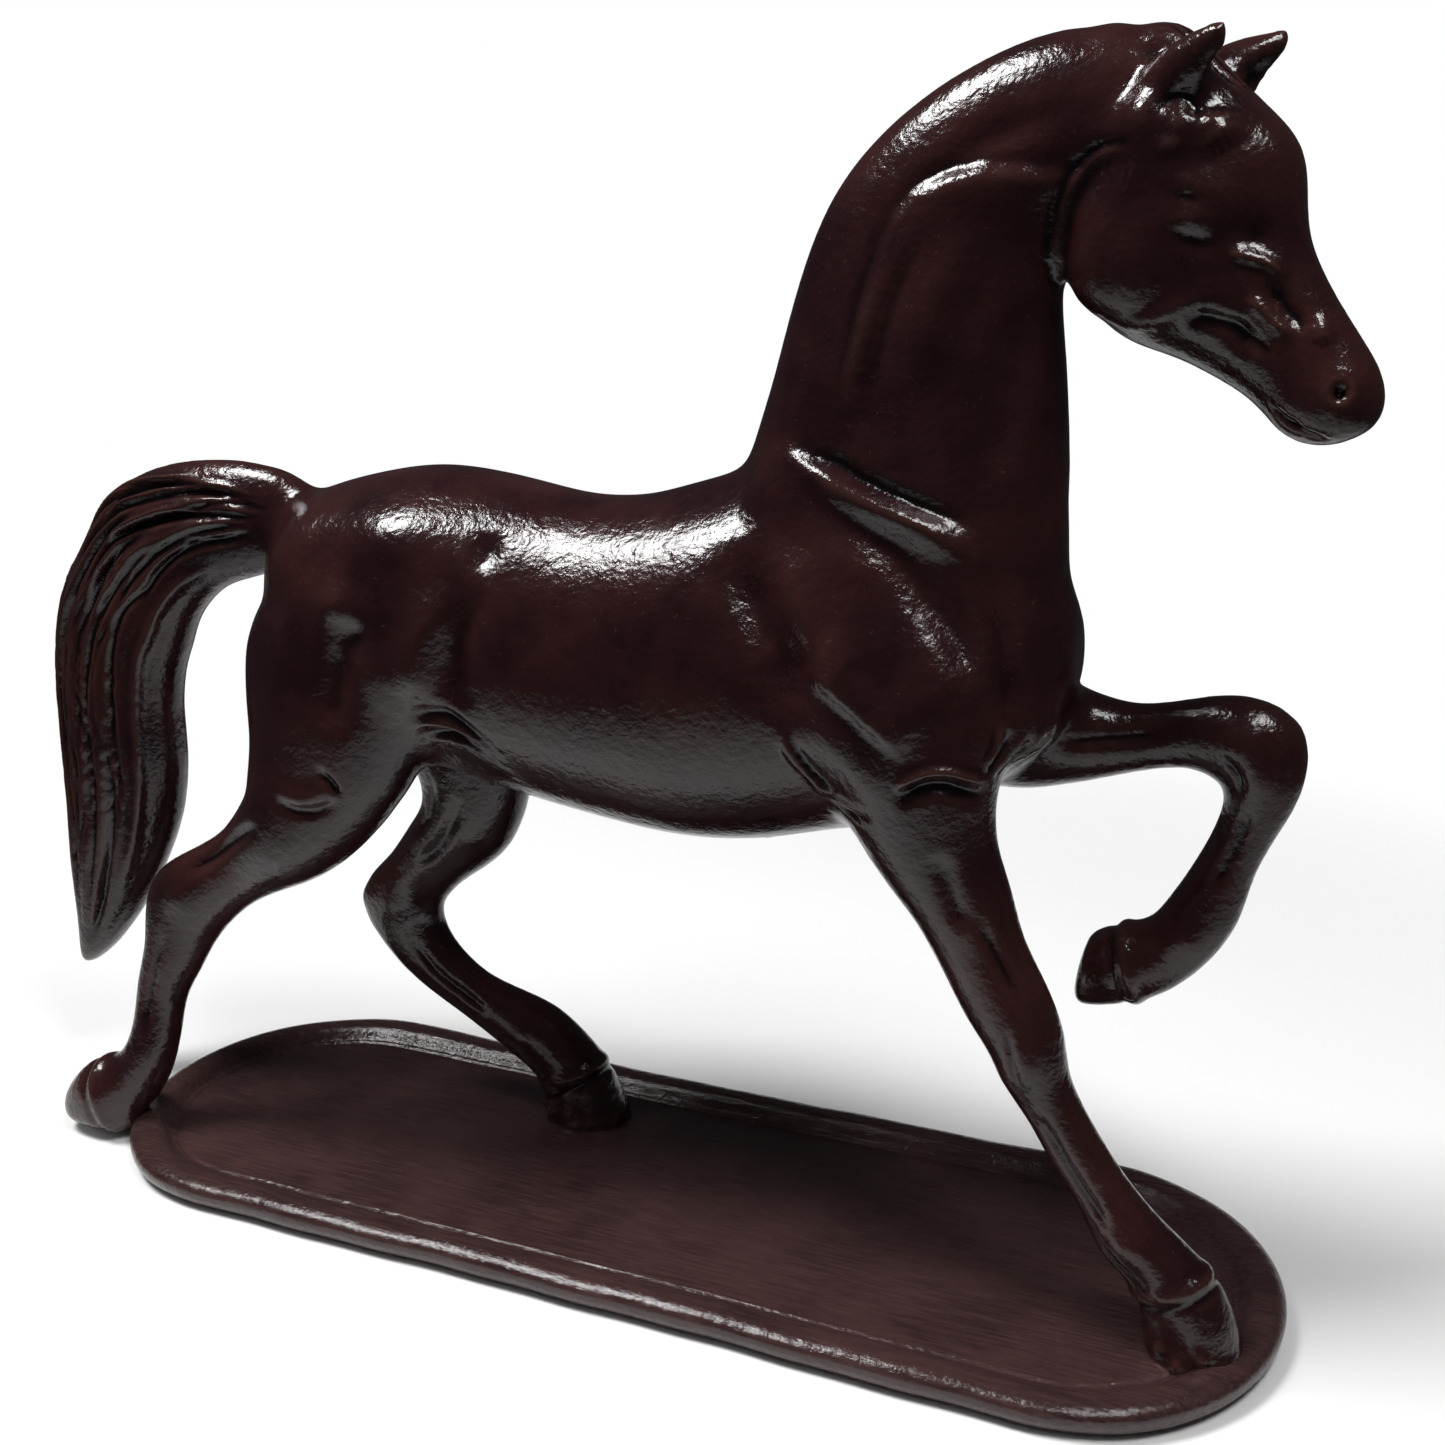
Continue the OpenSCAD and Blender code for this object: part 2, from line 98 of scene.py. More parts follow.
class Field:
    """Signed distances in millimetres, negative inside, on a grid of cubes of side `step`."""

    def __init__(self, low, high, step):
        self.step = step
        self.first = np.floor(np.asarray(low) / step).astype(int)
        last = np.ceil(np.asarray(high) / step).astype(int)
        self.shape = tuple(last - self.first + 1)
        self.values = None

    def fill_from_mesh(self, points, reach, **faces):
        """Distances to a closed mesh, given with triangles= or quads=, capped at `reach`."""
        faces = {kind: np.ascontiguousarray(corners, np.int32) for kind, corners in faces.items()}
        grid = openvdb.FloatGrid.createLevelSetFromPolygons(
            np.ascontiguousarray(points, np.float32), **faces,
            transform=openvdb.createLinearTransform(self.step), halfWidth=reach / self.step)
        self.values = np.empty(self.shape, np.float32)
        grid.copyToArray(self.values, ijk=tuple(int(i) for i in self.first))

    def axes(self):
        """The three coordinates of every grid point, shaped to broadcast."""
        x, y, z = [(self.first[i] + np.arange(self.shape[i])) * self.step for i in range(3)]
        return x[:, None, None], y[None, :, None], z[None, None, :]

    def blur(self, sigma):
        """Gaussian smoothing, sigma in millimetres."""
        spread = sigma / self.step
        radius = max(1, int(math.ceil(2.5 * spread)))
        weights = np.exp(-0.5 * (np.arange(-radius, radius + 1) / spread) ** 2)
        weights /= weights.sum()
        for axis in range(3):
            margins = [(radius, radius) if i == axis else (0, 0) for i in range(3)]
            padded = np.pad(self.values, margins, "edge")
            total = np.zeros(self.shape, np.float32)
            for k, weight in enumerate(weights):
                window = [slice(None)] * 3
                window[axis] = slice(k, k + self.shape[axis])
                total += np.float32(weight) * padded[tuple(window)]
            self.values = total

    def sample(self, places):
        """Values at any places, mixed from the eight nearest grid points; infinite outside the grid."""
        at = places / self.step - self.first
        inside = np.all((at > 0) & (at < np.array(self.shape) - 1.001), axis=1)
        found = np.full(len(places), np.inf)
        low = at[inside].astype(int)
        part = at[inside] - low
        total = np.zeros(len(low))
        for corner in np.ndindex(2, 2, 2):
            share = np.prod(np.where(corner, part, 1 - part), axis=1)
            i, j, k = (low + corner).T
            total += share * self.values[i, j, k]
        found[inside] = total
        return found

    def surface(self):
        """The zero surface as points in millimetres and quads that face outward."""
        grid = openvdb.FloatGrid(float(self.values.max()))
        grid.copyFromArray(self.values, ijk=tuple(int(i) for i in self.first))
        grid.transform = openvdb.createLinearTransform(self.step)
        grid.gridClass = openvdb.GridClass.LEVEL_SET
        points, quads = grid.convertToQuads(0.0)
        return np.array(points), np.array(quads, np.int32)


def reachable_from_outside(solid):
    """True where a grid point that isn't solid can be reached from the grid's corner."""
    seen = np.zeros(solid.shape, bool)
    seen[0, 0, 0] = True
    free = ~solid
    before = -1
    while seen.sum() != before:
        before = seen.sum()
        for axis in range(3):
            view, open_view = np.moveaxis(seen, axis, 0), np.moveaxis(free, axis, 0)
            for i in range(1, len(view)):
                view[i] |= view[i - 1] & open_view[i]
            for i in range(len(view) - 2, -1, -1):
                view[i] |= view[i + 1] & open_view[i]
    return seen


def outer_skin(names, step=1.0, margin=8.0):
    """The outside of several touching castings, without the hollow of the body, as points and quads."""
    points, triangles = joined_nodes(names)
    low, high = points.min(0) - margin, points.max(0) + margin
    field = Field(low, high, step)
    field.fill_from_mesh(points, 3.0, triangles=triangles)
    outside = reachable_from_outside(field.values < 0)
    near = outside.copy()
    for axis in range(3):
        near |= np.roll(near, 1, axis) | np.roll(near, -1, axis)
    skin_points, quads = field.surface()
    index = np.rint(skin_points / step).astype(int) - field.first
    touches = near[index[:, 0], index[:, 1], index[:, 2]]
    return skin_points, quads[touches[quads].all(1)], low, high


# ---- the smooth skin of the whole horse

# How far the facets are smoothed, and the parts that need less: low corner, high corner, sigma, soft edge.
BODY_SMOOTHING = 3.6
FINE_PARTS = [
    ([-215, -60, 0], [-108, 60, 220], 1.9, 14),
    ([-108, -60, 0], [170, 60, 112], 1.7, 12),
    ([104, -60, 60], [170, 60, 155], 1.7, 12),
    ([92, -60, 200], [170, 60, 272], 1.8, 8),
    ([104, -60, 272], [170, 60, 300], 0.8, 5)]


def soft_box(field, low, high, edge):
    """1 inside a box, fading to 0 over `edge` millimetres outside it."""
    outside = 0.0
    for axis, (a, b) in zip(field.axes(), zip(low, high)):
        gap = np.maximum(np.maximum(a - axis, axis - b), 0)
        outside = outside + gap * gap
    return np.clip(1 - np.sqrt(outside) / edge, 0, 1)


def extend_feet(field, from_z, to_z):
    """The planted hooves go straight down into the floor of the tray."""
    rows = (np.arange(field.shape[2]) + field.first[2]) * field.step
    cut = int(np.searchsorted(rows, from_z))
    sole = int(np.searchsorted(rows, to_z))
    for k in range(sole, cut):
        field.values[:, :, k] = np.minimum(field.values[:, :, k], field.values[:, :, cut])


def smooth_skin(step):
    """The horse as one smooth closed surface: points and quads."""
    skin_points, quads, low, high = outer_skin(CASTINGS + FLUSH_FIXINGS)
    field = Field(low, high, step)
    field.fill_from_mesh(skin_points, 9.0, quads=quads)
    extend_feet(field, HOOF_CUT_Z, HOOF_END_Z)
    sharp = field.values.copy()
    field.blur(BODY_SMOOTHING)
    result = field.values
    for low_corner, high_corner, sigma, edge in FINE_PARTS:
        field.values = sharp.copy()
        field.blur(sigma)
        weight = soft_box(field, low_corner, high_corner, edge).astype(np.float32)
        result = result * (1 - weight) + field.values * weight
    field.values = result
    points, quads = field.surface()
    return points, quads[:, ::-1]


# ---- Blender meshes

def make_mesh(name, points, *face_sets):
    """A smooth-shaded mesh from points in millimetres and arrays of faces, one array per corner count."""
    mesh = bpy.data.meshes.new(name)
    mesh.vertices.add(len(points))
    mesh.vertices.foreach_set("co", (points * MM).astype(np.float32).ravel())
    corners = np.concatenate([faces.ravel() for faces in face_sets]).astype(np.int32)
    sizes = np.concatenate([np.full(len(faces), faces.shape[1]) for faces in face_sets])
    starts = (np.cumsum(sizes) - sizes).astype(np.int32)
    mesh.loops.add(len(corners))
    mesh.loops.foreach_set("vertex_index", corners)
    mesh.polygons.add(len(sizes))
    mesh.polygons.foreach_set("loop_start", starts)
    mesh.update(calc_edges=True)
    mesh.polygons.foreach_set("use_smooth", np.ones(len(sizes), bool))
    return mesh


def add_object(name, mesh):
    piece = bpy.data.objects.new(name, mesh)
    bpy.context.scene.collection.objects.link(piece)
    return piece


def subdivided(points, quads):
    """Each quad smoothly split into four."""
    mesh = make_mesh("coarse", points, quads)
    piece = add_object("coarse", mesh)
    modifier = piece.modifiers.new("fine", "SUBSURF")
    modifier.levels = 1
    fine = piece.evaluated_get(bpy.context.evaluated_depsgraph_get()).to_mesh()
    new_points = np.empty(len(fine.vertices) * 3, np.float32)
    fine.vertices.foreach_get("co", new_points)
    corners = np.empty(len(fine.loops), np.int32)
    fine.loops.foreach_get("vertex_index", corners)
    new_points = new_points.reshape(-1, 3).astype(float) / MM
    corners = corners.reshape(-1, 4).copy()
    bpy.data.objects.remove(piece)
    bpy.data.meshes.remove(mesh)
    return new_points, corners


# ---- modelling tools

def spline(points, spacing=0.4):
    """Points close together along a smooth curve through a few given ones."""
    given = np.asarray(points, float)
    ends = np.vstack([2 * given[0] - given[1], given, 2 * given[-1] - given[-2]])
    found = []
    for i in range(1, len(ends) - 2):
        a, b, c, d = ends[i - 1:i + 3]
        count = max(2, int(np.linalg.norm(c - b) / spacing))
        t = (np.arange(count) / count)[:, None]
        found.append(0.5 * (2 * b + (c - a) * t + (2 * a - 5 * b + 4 * c - d) * t ** 2
                            + (3 * b - a - 3 * c + d) * t ** 3))
    found.append(given[-1:])
    return np.vstack(found)


def fade(t, ends):
    """Rises from 0 to 1 over the first `ends` of a line and falls again over its last."""
    near_end = np.clip(np.minimum(t, 1 - t) / max(ends, 1e-6), 0, 1)
    return near_end * near_end * (3 - 2 * near_end)


class Clay:
    """A surface that is worked by moving its points along their normals."""

    def __init__(self, points, quads):
        self.points = points
        self.quads = quads
        self.renew()

    def renew(self):
        """Applies the moves so far and works out the normals again."""
        if hasattr(self, "move"):
            self.points = self.points + self.normals * self.move[:, None]
        corners = self.points[self.quads]
        across = np.cross(corners[:, 2] - corners[:, 0], corners[:, 3] - corners[:, 1])
        total = np.zeros_like(self.points)
        for axis in range(3):
            weights = np.repeat(across[:, axis], 4)
            total[:, axis] = np.bincount(self.quads.ravel(), weights, len(self.points))
        self.normals = total / np.maximum(np.linalg.norm(total, axis=1), 1e-9)[:, None]
        self.move = np.zeros(len(self.points))

    def near(self, low, high, reach):
        """Indices of the points in a box that is `reach` larger all round."""
        inside = np.all((self.points > low - reach) & (self.points < high + reach), axis=1)
        return np.nonzero(inside)[0]

    def bump(self, at, radii, height):
        """A soft swelling, or a hollow where the height is negative."""
        at, radii = np.asarray(at, float), np.broadcast_to(np.asarray(radii, float), 3)
        index = self.near(at, at, 2.5 * radii.max())
        away = (self.points[index] - at) / radii
        self.move[index] += height * np.exp(-(away ** 2).sum(1))

    def line(self, points, width, height, ends=0.25, raised=0.0, reach=8.0):
        """A ridge, or a groove where the height is negative, along a curve laid onto the surface.
        raised lifts the surface on the curve's left, seen from outside, and fades out over `reach`."""
        path = spline(points)
        margin = max(3 * width, 1.6 * reach if raised else 0) + 3
        index = self.near(path.min(0), path.max(0), margin)
        if not len(index):
            return
        spots = self.points[index]
        path = spots[self.gaps(path, spots).argmin(1)]
        path = smooth_path(path)
        gaps = self.gaps(spots, path)
        nearest = gaps.argmin(1)
        distance = np.sqrt(gaps[np.arange(len(spots)), nearest])
        taper = fade(nearest / (len(path) - 1), ends)
        shape = height * np.exp(-(distance / width) ** 2)
        if raised:
            along = np.gradient(path, axis=0)[nearest]
            side = (np.cross(self.normals[index], along) * (spots - path[nearest])).sum(1)
            side /= np.maximum(np.linalg.norm(along, axis=1), 1e-9)
            lift = 0.5 + 0.5 * np.tanh(side / width)
            shape = shape + raised * lift * np.exp(-(np.maximum(side, 0) / reach) ** 2) * (
                np.exp(-(np.maximum(distance - np.abs(side), 0) / width) ** 2))
        self.move[index] += shape * taper

    @staticmethod
    def gaps(a, b):
        """Squared distances between every point of a and every point of b."""
        a32, b32 = a.astype(np.float32), b.astype(np.float32)
        total = (a32 ** 2).sum(1)[:, None] + (b32 ** 2).sum(1)[None, :] - 2 * a32 @ b32.T
        return np.maximum(total, 0)


def smooth_path(path, rounds=10):
    """Evens out the small jumps left when a curve is laid onto the surface's points."""
    for _ in range(rounds):
        path[1:-1] = (path[:-2] + 2 * path[1:-1] + path[2:]) / 4
    return path


def mirrored(points, side):
    """The given points of the right side, or their mirror image on the left."""
    points = np.array(points, float)
    if side == LEFT:
        points[..., 1] *= -1
    return points


class OneSide:
    """One half of the clay. Strokes are given for the right side, and `place` puts them on this one."""

    def __init__(self, clay, side, place):
        self.clay = clay
        self.side = side
        self.place = place

    def line(self, points, width, height, ends=0.25, raised=0.0, reach=8.0, shift=(0, 0, 0)):
        points = self.place(np.array(points, float) + shift, self.side)
        self.clay.line(points, width, height, ends, -self.side * raised, reach)

    def bump(self, at, radii, height):
        self.clay.bump(self.place(at, self.side), radii, height)


# ---- the horse's anatomy, in millimetres
# Points are [x, y, z] on the right side and needn't lie on the surface: each curve is laid onto it.
# A stroke then gives its width and height, or a bump its radii and height.

def model_neck(half):
    """The mane's edge, the crest, and the soft hollow along the throat."""
    mane_edge = [[107, -12, 264], [101, -11, 260], [93, -12, 260.5], [82, -13, 261], [70, -13, 259],
                 [62, -14, 252], [57, -15, 240], [53, -17, 221], [52, -19, 206]]
    crest = [[107, -12, 272], [97, -12, 270], [85, -12, 267], [73, -12, 260], [64, -13, 249],
             [58, -14, 236], [54, -15, 222]]
    half.line(mane_edge, 2, -0.9, ends=0.2, raised=1.8, reach=10)
    half.line(crest, 3.2, -1, ends=0.3)
    throat = [[97, -9, 243], [91, -12, 226], [88, -14, 208], [88, -15, 196]]
    half.line(throat, 4.5, -1.5, ends=0.3)
    windpipe = [[80, -14, 252], [73, -16, 236], [69, -18, 220], [68, -19, 206]]
    half.line(windpipe, 5, 1.6, ends=0.35)
    half.line(windpipe, 2.6, -1, ends=0.35, shift=(-8.5, 0, 0))


def model_shoulder(half):
    """The roll where the neck meets the shoulder, the blade, the upper arm and the folds at the elbow."""
    neck_groove = [[40, -14, 208], [43, -16, 204.5], [47, -18, 202], [54, -19, 200], [61, -20, 196.5],
                   [67, -20, 194], [74, -20, 191.5], [81, -18, 189.5], [88, -16, 188.5]]
    roll = [[39, -14, 205], [43, -17, 200.5], [50, -19, 197], [56, -21, 194], [63, -21, 191],
            [73, -21, 187.5], [81, -19, 183], [86, -17, 180], [87.5, -17, 175]]
    half.line(neck_groove, 2, -1.6, ends=0.35)
    half.line(roll, 3.4, 2.3, ends=0.35)
    blade_front = [[50, -22, 191], [58, -22, 187.5], [67, -22.5, 182.5], [74, -22.6, 176], [81, -23, 168],
                   [85, -23, 160], [86, -25, 150]]
    half.line(blade_front, 4.6, -2.2, ends=0.3)
    half.bump([57, -24, 180], [12, 9, 12], 1.8)
    blade_rear = [[31, -25, 186], [36, -27, 176], [41, -29, 167], [46, -30.5, 159], [46, -31, 151],
                  [44.5, -31, 142]]
    half.line(blade_rear, 6, -4, ends=0.35)
    half.line(blade_rear, 5, 1.5, ends=0.4, shift=(9, 0, 0))
    triceps = [[49, -31, 157.5], [57, -30.5, 153], [64.5, -31.5, 147.5], [70, -32, 143], [74, -31, 138]]
    half.line(triceps, 1.8, 0.6, ends=0.3, raised=2.2, reach=11)
    half.bump([57, -31, 141], [7, 7, 8], 1.5)
    half.bump([66, -31, 134], [6, 6, 7], 1)
    breast_groove = [[88, -22, 178], [92, -22, 166], [94, -22, 154], [92, -22, 144]]
    half.line(breast_groove, 3.2, -1.6, ends=0.35)
    girth = [[45, -31, 144], [47.5, -29, 137], [51, -27, 132.5], [54, -25, 129], [59.5, -26, 126],
             [65, -28, 125.5]]
    half.line(girth, 1.4, 1.4, ends=0.25)
    half.line(girth, 1.5, -1.5, ends=0.3, shift=(2.6, 0, -2.2))


def model_near_elbow(clay):
    """The arched fold over the planted foreleg and the pleats in front of it."""
    arch = [[72, -31, 131], [75.5, -31, 135], [81, -29, 137], [86, -26, 135.5], [90, -22, 133]]
    clay.line(arch, 1.4, 1.6, ends=0.2)
    clay.line(np.array(arch) - [0, 0, 3], 2, -2.1, ends=0.3)
    for start, end in (([90, -19, 134], [97, -18, 145]), ([92, -17, 132.5], [101, -15, 146]),
                       ([94, -14, 131.5], [105, -12, 143]), ([88, -22, 136], [93, -21, 148])):
        middle = (np.array(start) + end) / 2 + [1, 0, -1]
        clay.line([start, middle, end], 1.2, 1.2, ends=0.4)
        clay.line(np.array([start, middle, end]) + [1.9, 0, -1.5], 1.1, -1.1, ends=0.4)


def model_quarter(half):
    """The rump, the round of the hip with the hollow behind it, the thigh's edge and the flank folds."""
    half.bump([-56, -26, 179], [15, 9, 9], 1.7)
    half.bump([-69, -33, 162.5], [6, 7, 5], 2)
    half.bump([-65, -34, 154.5], [5.5, 7, 4.5], -2.4)
    thigh_groove = [[-65, -34, 155], [-69, -33, 149], [-71, -33, 142], [-72.5, -33, 136], [-74, -33, 128]]
    half.line(thigh_groove, 4.5, -2.3, ends=0.35)
    half.bump([-58, -34, 142], [7, 8, 13], 1.6)
    half.bump([-84, -31, 140], [8, 8, 16], 1.2)
    thigh_front = [[-34, -29, 170], [-36.5, -30, 164], [-39.5, -32, 158], [-41.5, -33, 151],
                   [-41.5, -32, 144], [-41, -30.5, 136]]
    half.line(thigh_front, 5.5, 2.4, ends=0.35, shift=(-5.0, 0, 0))
    half.line(thigh_front, 4.5, -2.8, ends=0.35, shift=(4.0, 0, 0))
    flank = [[-53, -27, 130.5], [-47, -29, 134], [-40, -29.5, 134.5], [-34.5, -28, 131],
             [-30, -26, 127], [-24, -23, 122]]
    half.line(flank, 1.6, 1.6, ends=0.45)
    half.line(flank, 1.5, -1.5, ends=0.45, shift=(1.2, 0, -3))
    half.line(flank, 1.6, 1.2, ends=0.45, shift=(2.4, 0, -5.8))
    half.line(flank, 2, -1.2, ends=0.45, shift=(-1.0, 0, 3.2))
    loin = [[-29.5, -21, 181.5], [-31, -25, 176], [-33, -28, 171]]
    half.line(loin, 3.5, -1.1, ends=0.45)


def model_near_gaskin(clay):
    """Creases above the trailing hock and its tendon."""
    crease = [[-94, -32, 112], [-89, -33, 109], [-83, -32, 107.8], [-77, -31.5, 109.5], [-71, -30.5, 113]]
    clay.line(crease, 1.8, -1.1, ends=0.45)
    clay.line(np.array(crease) + [0, 0, 3.4], 3, 1, ends=0.45)
    clay.line([[-78, -33, 121], [-74.5, -32, 116], [-72, -30.5, 112]], 1.3, -1.2, ends=0.4)
    clay.line([[-96, -31, 103], [-110, -28, 95], [-122, -28, 88], [-131, -28, 82]], 2.2, -1.6, ends=0.3)
    clay.bump([-131, -28, 76], [5, 5, 5], 0.8)
    clay.line([[-137, -28, 66], [-141, -28, 54], [-144, -29, 42], [-145, -31, 33]], 1.5, -0.9, ends=0.25)


def model_far_hind(clay):
    """The inner side of the far hind leg."""
    clay.line([[-62, 8, 104], [-66, 9, 94], [-73, 10, 85], [-82, 13, 78]], 2, -1.2, ends=0.3)
    clay.line([[-70, 8, 108], [-73, 9, 97], [-80, 12, 88]], 1.4, -0.8, ends=0.35)
    clay.bump([-89, 15, 64], [5, 5, 5], 0.9)
    clay.line([[-86, 15, 56], [-78, 15, 46], [-68, 16, 39], [-60, 17, 34]], 1.4, -0.9, ends=0.25)
    clay.bump([-52, 18, 29], [4.5, 4.5, 4.5], 0.7)


def model_near_fore(clay):
    """Forearm muscles, knee and tendons of the planted foreleg."""
    clay.line([[80, -27, 119], [84, -26, 108], [88, -25, 99]], 2.6, -1.2, ends=0.3)
    clay.line([[89, -25, 105], [96, -26, 94], [101, -25, 85]], 1.6, -0.8, ends=0.35)
    clay.bump([102, -25, 69], [5, 4, 6], 0.9)
    clay.bump([97, -24, 66], [3, 4, 4], 0.6)
    clay.line([[97, -24, 79], [99, -24, 72], [101, -24, 63]], 1, -0.6, ends=0.3)
    clay.line([[104, -23, 60], [110, -23, 50], [117, -23, 40], [123, -24, 33]], 1.3, -0.9, ends=0.25)
    clay.bump([126, -24, 30], [4.5, 4, 4.5], 0.8)
    clay.line([[119, -22, 31], [126, -25, 24], [132, -26, 19]], 1.1, -0.6, ends=0.3)


def model_far_fore(clay):
    """The inner side of the raised foreleg."""
    clay.line([[98, 7, 136], [110, 9, 138], [124, 10.5, 140]], 1.6, -0.9, ends=0.3)
    clay.bump([139, 9, 140], [5, 4, 5], 0.9)
    clay.bump([143, 9, 132], [4, 4, 5], 0.7)
    clay.line([[142, 10, 126], [139, 10, 115], [135, 10, 104]], 1.4, -0.9, ends=0.25)
    clay.bump([129, 9, 91], [4.5, 4, 4.5], 0.8)
    clay.line([[134, 9, 137], [138, 9, 133], [139, 9, 127]], 1.1, -0.7, ends=0.35)


# ---- the head, modelled before it turns

HEAD_TURN = math.radians(12)
POLL_X = 108


def head_points(points, side):
    """Points given on the straight head's right side, turned with the head."""
    points = mirrored(points, side)
    x, y = points[..., 0] - POLL_X, points[..., 1].copy()
    turned = points.copy()
    turned[..., 0] = POLL_X + x * math.cos(HEAD_TURN) + y * math.sin(HEAD_TURN)
    turned[..., 1] = y * math.cos(HEAD_TURN) - x * math.sin(HEAD_TURN)
    return turned


def model_head(half):
    """One side of the face: cheek, temple, eye, cheekbone, jaw, nostril and mouth."""
    cheek = [[118, -14.5, 262], [114, -14, 263.5], [109, -13, 263], [104, -12, 260], [100, -11, 254],
             [97.5, -9, 246], [97.5, -7, 239], [100, -5, 233.5]]
    half.line(cheek, 1.6, 0.7, ends=0.25, raised=-1.3, reach=6)
    half.line(cheek, 1.3, -0.8, ends=0.12, shift=(-1.6, 0, 0.8))
    half.bump([116, -13.5, 269], [4.2, 4.5, 4.6], 1.9)
    half.bump([123, -13, 267], [2.6, 3.5, 3.2], 1.2)
    circle = [[122.5 + 4.3 * math.cos(a), -13, 268 + 4.3 * math.sin(a)] for a in np.linspace(-0.6, 3.8, 8)]
    half.line(circle, 1.2, -0.7, ends=0.3)
    half.bump([122, -14.4, 263], [3, 3, 2], 0.9)
    half.line([[128.5, -11, 271], [129.5, -11.5, 266.5], [132, -11, 261.5]], 4.2, 2, ends=0.4)
    brow = [[119, -15, 256], [123, -14.8, 257.2], [128, -13.8, 256], [133, -12.3, 253], [137, -10.8, 249]]
    half.line(brow, 3.2, 1.1, ends=0.45)
    half.bump([127.5, -14, 249.6], [4.6, 3.5, 3], 1)
    half.line([[122, -15, 253.5], [126, -14.6, 253.8], [130, -13.6, 252]], 1, -0.4, ends=0.5)
    under_eye = [[122, -15, 249], [126, -14.4, 246.4], [131, -13.2, 245.2], [135.5, -11.6, 245.6]]
    half.line(under_eye, 2, -0.8, ends=0.5)
    half.line([[133, -12.3, 243.6], [137.4, -10.6, 242.8], [141, -9, 241.2], [144.5, -7.5, 239]],
              1.3, 1.1, ends=0.3)
    half.bump([138, -9.5, 247], [4, 4, 3], -1.3)
    half.line([[107, -6, 230], [114, -9, 229.5], [121, -11, 231], [127, -12, 234], [134, -11.7, 236]],
              2.2, 0.9, ends=0.4)
    half.line([[125, -11.6, 230.6], [131, -11.4, 231], [136, -10.7, 229], [140, -9.4, 224]],
              1.8, -1.3, ends=0.3)
    half.line([[137, -10.8, 236], [142, -9.5, 231.5], [147, -8.6, 227]], 1.3, 1, ends=0.3)
    half.line([[140, -10, 239], [145, -9, 234], [150, -8, 228]], 1.9, -1.2, ends=0.35)
    half.line([[134, -10, 232.5], [139, -9.5, 228], [144, -8.5, 223.5]], 1.5, -0.9, ends=0.35)
    half.line([[150, -6.2, 232], [152.5, -6.6, 226]], 1.9, 0.8, ends=0.4)
    half.bump([155.5, -8, 217.5], [3.4, 3.4, 3.6], 0.9)
    half.bump([156.2, -8, 217.6], [1.25, 3, 1.45], -2.6)
    half.line([[141, -7.5, 216], [144.5, -7.4, 212.8], [148, -7, 210.6], [152, -6, 209.3],
                  [155.5, -3, 208.8]], 0.9, -0.7, ends=0.3)
    half.bump([147.5, -7, 211.3], [1.5, 2, 1.4], -0.6)
    half.bump([143, -6, 210], [4, 4, 3], 0.6)


def model_forehead(clay):
    """The forelock's strands between the ears."""
    for y in (-3.5, -1.2, 1.2, 3.5):
        strand = [[114, y * 0.8, 287], [121, y, 284], [127, y * 1.2, 278], [131.5, y * 0.8, 270]]
        clay.line(head_points(strand, RIGHT), 0.8, -0.6, ends=0.3)


# ---- carved hair of the tail

# The tail's centre line and half its depth: x, z, half-depth, angle of the depth up from +X.
TAIL = np.array([
    [-100, 175, 12, 76], [-118, 176, 16, 92], [-132, 174, 18, 98], [-145, 168.5, 21, 108],
    [-154.5, 161.5, 23, 122], [-161, 152, 22.5, 138], [-167, 141, 22.5, 152], [-170.5, 125, 22, 166],
    [-171, 107, 22, 174], [-172.5, 89, 20.5, 178], [-177, 71, 17, 182], [-182, 54, 12, 190],
    [-188, 41, 7, 200]], float)
TAIL_HALF_WIDTH = 11
TAIL_SIDE_CUTS = 66
TAIL_BACK_CUTS = 16
FULL_SPREAD_FROM = 0.3      # the hair fans out over this much of the tail's length


def tail_point(along, across, side):
    """A place on the tail, `along` from 0 at the root to 1 at the tip and `across` from -1, its front,
    to 1, its back."""
    place = along * (len(TAIL) - 1)
    x, z, depth, angle = [np.interp(place, np.arange(len(TAIL)), TAIL[:, i]) for i in range(4)]
    angle = math.radians(angle)
    width = TAIL_HALF_WIDTH * math.sqrt(max(1 - across ** 2, 0))
    return [x + across * depth * math.cos(angle), side * width, z + across * depth * math.sin(angle)]


